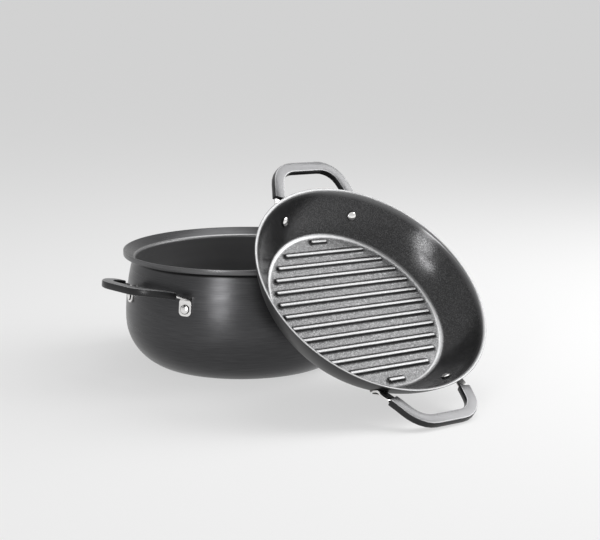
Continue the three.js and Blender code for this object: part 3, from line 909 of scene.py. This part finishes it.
pot_outside = lined_metal(
    "pot_anodised",
    metallic=0.85,
    tones=SKIN_TONES,
    gloss=(0.27, 0.33),
    relief=(0.6, 0.08 * MM),
    band=LIP_SHADOW_BAND,
)
pot_lip = lined_metal(
    "pot_lip",
    metallic=0.85,
    tones=LIP_TONES,
    gloss=(0.26, 0.34),
    relief=(0.15, 0.04 * MM),
    **LIP_LINES,
)
pot_throat = lined_metal(
    "pot_throat",
    metallic=0.85,
    tones=THROAT_TONES,
    gloss=(0.24, 0.32),
    band=THROAT_HIGHLIGHT_BAND,
    **LIP_LINES,
)
pot_inside = lined_metal(
    "pot_inside",
    metallic=0.4,
    tones=INSIDE_PAINTED_LIGHT_TONES,
    tone_from="Broad",
    gloss=(0.36, 0.44),
    relief=(0.1, 0.04 * MM),
    **INSIDE_LINES,
)
print("pot:", [finish.name for finish in (pot_outside, pot_lip, pot_throat, pot_inside)])

# %% [markdown]
# ## The griddle's coating
# Inside, the griddle has a non-stick coating, charcoal with fine metal flake. The wall is smooth enough to
# mirror a lamp. The floor is a little rougher and paler, a painted highlight runs round it as a bright line
# where the wall begins, and the coating is rubbed towards the rim. Heights tell these places apart, so one
# material does it all.

# %% The griddle's coating
FLAKE = {"Size": 1500.0, "Share": 0.5}
COAT_TONES = ((0.04, 0.04, 0.041), (0.105, 0.105, 0.107))
FLOOR_TONES = ((0.045, 0.045, 0.046), (0.175, 0.175, 0.177))
# A painted highlight: the bright line where the griddle's floor turns into the wall.
CORNER_HIGHLIGHT_TONE = (0.3, 0.3, 0.303)
RIM_TONES = ((0.17, 0.17, 0.172), (0.24, 0.24, 0.242))
NEAR_RIM = (-7, -0.8)
NEAR_FLOOR = (floor_height + 2.6, floor_height + 0.1)
OFF_FLOOR = (floor_height + 0.1, floor_height + 0.5)
WALL_GLOSS = (0.15, 0.24)
FLOOR_DULLER = 0.12
COAT_RELIEF = (0.15, 0.04 * MM)

griddle_inside, tree, shader = new_material("griddle_coating", metallic=0.68)
flake = use_group(tree, fleck, leaning, **FLAKE)
near_rim = height_mask(tree, *NEAR_RIM, leaning)
near_floor = height_mask(tree, *NEAR_FLOOR, leaning)
# The mask of that painted highlight line, just above the floor.
corner_highlight_mask = math_node(tree, "MULTIPLY", near_floor, height_mask(tree, *OFF_FLOOR, leaning))
wall_tone = blend_colors(tree, flake.outputs["Mask"], *COAT_TONES)
floor_tone = blend_colors(tree, flake.outputs["Mask"], *FLOOR_TONES)
inner_tone = blend_colors(tree, near_floor, wall_tone, floor_tone)
inner_tone = blend_colors(tree, corner_highlight_mask, inner_tone, CORNER_HIGHLIGHT_TONE)
inner_tone = blend_colors(tree, near_rim, inner_tone, RIM_TONES[0])
tree.links.new(inner_tone, shader.inputs["Base Color"])
wall_roughness = spread(tree, flake.outputs["Tone"], *WALL_GLOSS)
floor_extra = math_node(tree, "MULTIPLY", near_floor, FLOOR_DULLER)
tree.links.new(math_node(tree, "ADD", wall_roughness, floor_extra), shader.inputs["Roughness"])
bump(tree, shader, flake.outputs["Mask"], *COAT_RELIEF)
print("griddle:", griddle_inside.name, "with", len(tree.nodes), "nodes")

# %% [markdown]
# The ridges carry the same coating. A painted highlight makes their backs bright, and painted shade keeps
# their dull flanks dark. At the foot the tone runs into that of the floor, so that no seam shows.

# %% The coating on the ridges
# Painted shade on the flanks, and a painted highlight on the backs of the ridges.
FLANK_SHADE_TONE = (0.03, 0.03, 0.031)
BACK_HIGHLIGHT_TONES = ((0.17, 0.17, 0.172), (0.23, 0.23, 0.232))
FOOT_BAND = (floor_height + 1.5, floor_height + 0.7)
BACK_BAND = (floor_height + RIDGE_HEIGHT - 0.85, floor_height + RIDGE_HEIGHT - 0.35)
FLANK_TO_FOOT_GLOSS = (0.6, 0.32)
BACK_GLOSSIER = 0.33
RIDGE_RELIEF = (0.12, 0.04 * MM)

ridge_finish, tree, shader = new_material("ridge_coating", metallic=0.85)
flake = use_group(tree, fleck, leaning, **FLAKE)
on_back = height_mask(tree, *BACK_BAND, leaning)
at_foot = height_mask(tree, *FOOT_BAND, leaning)
foot_tone = blend_colors(tree, flake.outputs["Mask"], *FLOOR_TONES)
flank_shade_tone = blend_colors(tree, at_foot, FLANK_SHADE_TONE, foot_tone)
back_highlight_tone = blend_colors(tree, flake.outputs["Mask"], *BACK_HIGHLIGHT_TONES)
tree.links.new(blend_colors(tree, on_back, flank_shade_tone, back_highlight_tone), shader.inputs["Base Color"])
flank_roughness = spread(tree, at_foot, *FLANK_TO_FOOT_GLOSS, 0, 1)
back_gloss = math_node(tree, "MULTIPLY", on_back, BACK_GLOSSIER)
tree.links.new(math_node(tree, "SUBTRACT", flank_roughness, back_gloss), shader.inputs["Roughness"])
bump(tree, shader, flake.outputs["Mask"], *RIDGE_RELIEF)
print("ridges:", ridge_finish.name, "with", len(tree.nodes), "nodes")

# %% [markdown]
# ## The griddle's rim and outside
# Outside the griddle is the plain dark anodised skin. The rim was turned smooth, and it is paler than the
# rest. Both are the recipe for metal with lines, turned with the leaning griddle.

# %% The griddle's rim and outside
DARK_SKIN_TONES = ((0.016, 0.016, 0.0165), (0.034, 0.034, 0.035))
DARK_SKIN_LINES = {"Length": 60.0, "Lines": 300.0}
RIM_LINES = {"Length": 200.0, "Lines": 1200.0}

griddle_outside = lined_metal(
    "griddle_anodised",
    metallic=0.7,
    tones=DARK_SKIN_TONES,
    gloss=(0.34, 0.44),
    relief=(0.1, 0.04 * MM),
    stands=leaning,
    **DARK_SKIN_LINES,
)
bare_rim = lined_metal(
    "turned_rim",
    metallic=0.9,
    tones=RIM_TONES,
    tone_from="Broad",
    gloss=(0.32, 0.42),
    stands=leaning,
    **RIM_LINES,
)
print("griddle:", griddle_outside.name, bare_rim.name)

# %% [markdown]
# ## Steel and grip
# The straps and rivets are polished stainless steel with faint wipe marks. A polished dome mirrors the dark
# pan in a ring round its foot. So that this ring stays clear under soft light, the steep part of a rivet is
# painted dark, a painted reflection of the pan. The grips are a satin grey moulding with a fine even grain.
# It is painted as light falls on it: lighter on the broad faces, painted shade on the sides, and a painted
# highlight along the rounded edges.

# %% The finishes of the handles
STEEL_TONES = ((0.84, 0.83, 0.82), (0.96, 0.95, 0.94))
# A painted reflection: the dark ring painted on the steep part of each rivet.
RING_TONES = ((0.02, 0.02, 0.02), (0.045, 0.045, 0.045))
WIPE_LINES = {"Length": 300.0, "Lines": 900.0}
GRAIN = {"Size": 2600.0, "Share": 0.5}
GRIP_GLOSS = (0.32, 0.38)
GRIP_RELIEF = (0.12, 0.03 * MM)

steel = lined_metal(
    "polished_steel_finish",
    metallic=1.0,
    tones=STEEL_TONES,
    tone_from="Broad",
    gloss=(0.12, 0.22),
    **WIPE_LINES,
)
steel_shade = lined_metal(
    "steel_painted_dark_ring",
    metallic=1.0,
    tones=RING_TONES,
    tone_from="Broad",
    gloss=(0.26, 0.36),
    **WIPE_LINES,
)


def grip_material(name, low, high):
    material, tree, shader = new_material(name, metallic=0.35)
    grain = use_group(tree, fleck, **GRAIN)
    tree.links.new(blend_colors(tree, grain.outputs["Tone"], low, high), shader.inputs["Base Color"])
    tree.links.new(spread(tree, grain.outputs["Mask"], *GRIP_GLOSS), shader.inputs["Roughness"])
    bump(tree, shader, grain.outputs["Mask"], *GRIP_RELIEF)
    return material


# One grey painted three ways as light falls: lighter broad faces, shaded sides and highlighted edges.
grip_lit_face = grip_material("grip_lit_broad_face", low=(0.11, 0.11, 0.113), high=(0.15, 0.15, 0.154))
grip_shaded_side = grip_material("grip_shaded_side", low=(0.014, 0.014, 0.015), high=(0.024, 0.024, 0.025))
grip_edge_highlight = grip_material("grip_painted_edge_highlight", low=(0.22, 0.22, 0.225), high=(0.3, 0.3, 0.307))
print("handles:", [finish.name for finish in (steel, steel_shade, grip_lit_face, grip_shaded_side, grip_edge_highlight)])

# %% [markdown]
# ## Which finish goes where
# A piece can hold several finishes, and each face has the number of one of them. Painting them on by hand
# would have to be done again after each change of shape. So a face gets its finish by where it looks and
# how high it is in the pan's own frame. A face belongs to the inside when it looks towards the pan's axis,
# or when it is the floor. Above the rim's height it gets the rim's finish.

# %% Finishes on the shells
LOOKS_IN = -0.05
POT_FLOOR_BELOW = 20 * MM
POT_RIM_ABOVE = (NECK_HEIGHT + 1) * MM
GRIDDLE_FLOOR_BELOW = -20 * MM
GRIDDLE_RIM_ABOVE = -1.6 * MM


def give(piece, *finishes):
    """Gives the piece these finishes, numbered from 0."""
    piece.data.materials.clear()
    for finish in finishes:
        piece.data.materials.append(finish)


def shell_finishes(piece, stands, floor_below, rim_above):
    """0 is the outside, 1 the inside, 2 the rim and 3 the rim's inner side."""
    back_to_own = stands.inverted()
    turn_to_own = back_to_own.to_3x3()
    for face in piece.data.polygons:
        middle = back_to_own @ face.center
        looks = turn_to_own @ face.normal
        from_axis = Vector((middle.x, middle.y))
        inwards = looks.x * middle.x + looks.y * middle.y < LOOKS_IN * from_axis.length
        on_floor = looks.z > LOOKS_UP and middle.z < floor_below
        at_rim = middle.z > rim_above
        face.material_index = 2 * int(at_rim) + int(inwards or on_floor)


give(pot_shell, pot_outside, pot_inside, pot_lip, pot_throat)
shell_finishes(pot_shell, Matrix.Identity(4), POT_FLOOR_BELOW, POT_RIM_ABOVE)
give(griddle_shell, griddle_outside, griddle_inside, bare_rim, bare_rim)
shell_finishes(griddle_shell, leaning, GRIDDLE_FLOOR_BELOW, GRIDDLE_RIM_ABOVE)
for shell in (pot_shell, griddle_shell):
    numbers = [face.material_index for face in shell.data.polygons]
    print(shell.name, "faces of each finish:", [numbers.count(number) for number in range(4)])

# %% [markdown]
# On a rivet the faces that look along its axis are bright, and the steep ones are painted dark, a painted
# reflection of the pan. A grip's finish follows how flat a face lies: painted light on the broad face, a
# painted highlight on the rounded edge, and painted shade on the side.

# %% Finishes on ridges, rivets, straps and grips
RING_BELOW = 0.87
BROAD_ABOVE = 0.96
EDGE_ABOVE = 0.55


def grip_finishes(piece, up):
    """0 is the side in painted shade, 1 the broad face in painted light and 2 the rounded edge with a
    painted highlight.
    """
    for face in piece.data.polygons:
        flatness = abs(face.normal.dot(up))
        if flatness > BROAD_ABOVE:
            face.material_index = 1
        elif flatness > EDGE_ABOVE:
            face.material_index = 2
        else:
            face.material_index = 0


for piece in ridges:
    give(piece, ridge_finish)
for node, piece in rivets.items():
    give(piece, steel, steel_shade)
    for face in piece.data.polygons:
        face.material_index = int(abs(face.normal.dot(rivet_axes[node])) < RING_BELOW)
for node, piece in handles.items():
    if "_strap_" in node:
        give(piece, steel)
    else:
        give(piece, grip_shaded_side, grip_lit_face, grip_edge_highlight)
        grip_finishes(piece, facing if node.startswith("griddle") else UPWARDS)
print("finishes on", 2 + len(ridges) + len(rivets) + len(handles), "pieces")

# %% [markdown]
# ## Tying the pieces to the frame
# The griddle can be lifted off, so every piece has to know which pan it moves with. Each new piece stands
# for its CAD part and rides on the body that the part belongs to. The ridges are joined into one piece
# first, because they are one with the griddle's floor.

# %% Riding on the bodies
ridge_row = ridges[0]
pick(ridge_row)
for piece in ridges[1:]:
    piece.select_set(True)
bpy.ops.object.join()
ridge_row.name = "griddle_ridges"
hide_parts("pot_body")
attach(pot_shell, "pot")
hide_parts("griddle_body")
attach(griddle_shell, "griddle")
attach(ridge_row, "griddle")
for node, piece in {**rivets, **handles}.items():
    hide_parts(node)
    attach(piece, node.split("_")[0])
print("pieces that ride:", 3 + len(rivets) + len(handles))

# %% [markdown]
# ## The studio
# A pale floor runs out of sight. A real one that is lit until it looks white would throw light up at the
# pans from below. So this floor is lifted only for the camera and for reflections, through the Light Path
# node: it looks pale, the metal mirrors it and it keeps the shadows, but no extra light falls on the pans.

# %% The floor
FLOOR_SIZE = 80
FLOOR_DROP = 0.3 * MM
FLOOR_TONE = (0.3, 0.3, 0.3, 1)
FLOOR_ROUGHNESS = 0.9
FLOOR_LIFT = 0.56
WHITE = (1, 1, 1, 1)


def seen(tree):
    """1 for a ray of the camera, of a reflection or through glass, and 0 for light that falls on things."""
    ray = tree.nodes.new("ShaderNodeLightPath")
    mirrored = math_node(tree, "MAXIMUM", ray.outputs["Is Glossy Ray"], ray.outputs["Is Transmission Ray"])
    return math_node(tree, "MAXIMUM", ray.outputs["Is Camera Ray"], mirrored)


let_go()
bpy.ops.mesh.primitive_plane_add(size=FLOOR_SIZE, location=(0, 0, -FLOOR_DROP))
floor = bpy.context.active_object
floor.name = "studio_floor"
floor_finish, tree, shader = new_material("studio_floor_finish", metallic=0)
shader.inputs["Base Color"].default_value = FLOOR_TONE
shader.inputs["Roughness"].default_value = FLOOR_ROUGHNESS
shader.inputs["Specular IOR Level"].default_value = 0
shader.inputs["Emission Color"].default_value = WHITE
tree.links.new(math_node(tree, "MULTIPLY", seen(tree), FLOOR_LIFT), shader.inputs["Emission Strength"])
floor.data.materials.append(floor_finish)
print("floor:", FLOOR_SIZE, "m wide,", round(FLOOR_DROP / MM, 2), "mm under the pot")

# %% [markdown]
# The world round the floor works in the same way. As light it is dim and comes from all sides, so that no
# shadow is black, and as seen it is pale.

# %% The surround
SURROUND_LIGHT = 0.28
SURROUND_SEEN = 0.66

world = bpy.data.worlds.new("studio_world")
bpy.context.scene.world = world
world.use_nodes = True
tree = world.node_tree
background = tree.nodes["Background"]
background.inputs["Color"].default_value = WHITE
background.inputs["Strength"].default_value = SURROUND_LIGHT
pale = tree.nodes.new("ShaderNodeBackground")
pale.inputs["Color"].default_value = WHITE
pale.inputs["Strength"].default_value = SURROUND_SEEN
choose = tree.nodes.new("ShaderNodeMixShader")
tree.links.new(seen(tree), choose.inputs[0])
tree.links.new(background.outputs[0], choose.inputs[1])
tree.links.new(pale.outputs[0], choose.inputs[2])
tree.links.new(choose.outputs[0], tree.nodes["World Output"].inputs["Surface"])
print("surround:", SURROUND_LIGHT, "as light,", SURROUND_SEEN, "as seen")

# %% [markdown]
# Five soft lamps do what a photographer's soft boxes do. Dark satin metal hardly shows light that falls on
# it; it shows what it mirrors. So each lamp stands where one part of a pan mirrors it to the camera: a low
# one on the left for the upright streak on the pot's wall, a narrow one for the streak in the griddle's
# wall, a large one on the right for the griddle's floor, one in front of it for the floor's lower corner,
# and one overhead for the grips and the lips.

# %% The lamps


def soft_light(name, place, target, size, radiance, fan=180, turn=0):
    """A rectangle of light that looks at a target, turned about its own axis.

    Its power is that of a face this bright which shines all round. A narrower fan gathers the same power,
    so the lamp is several times brighter straight ahead and dark at the sides."""
    data = bpy.data.lights.new(name, "AREA")
    data.shape = "RECTANGLE"
    data.size, data.size_y = size
    data.energy = radiance * size[0] * size[1] * pi
    data.spread = radians(fan)
    lamp = bpy.data.objects.new(name, data)
    lamp.location = place
    lamp.rotation_mode = "QUATERNION"
    aim = (Vector(target) - Vector(place)).to_track_quat("-Z", "Y")
    lamp.rotation_quaternion = aim @ Quaternion((0, 0, 1), radians(turn))
    bpy.context.scene.collection.objects.link(lamp)


soft_light(
    "light_left",
    place=(-2.4, -1.2, 0.42),
    target=(0, 0, 0.1),
    size=(0.63, 0.8),
    radiance=1.3,
    fan=70,
)
soft_light(
    "light_streak",
    place=(-1.53, -0.8, 0.87),
    target=(0.11, -0.19, 0.13),
    size=(0.13, 0.5),
    radiance=16,
    turn=47,
)
soft_light(
    "light_key",
    place=(1.02, -0.58, 1.06),
    target=(-0.01, -0.22, 0.12),
    size=(0.9, 1.3),
    radiance=5,
)
soft_light(
    "light_front",
    place=(0.8, -1.12, 0.84),
    target=(0, -0.2, 0.12),
    size=(0.75, 0.65),
    radiance=4,
)
soft_light(
    "light_top",
    place=(0.3, -0.1, 1.6),
    target=(0, -0.15, 0.1),
    size=(0.8, 0.8),
    radiance=3,
)

# %% [markdown]
# ## The last update
# The view layer is brought up to date once more, so that every piece's place is worked out.

# %% The last line
bpy.context.view_layer.update()
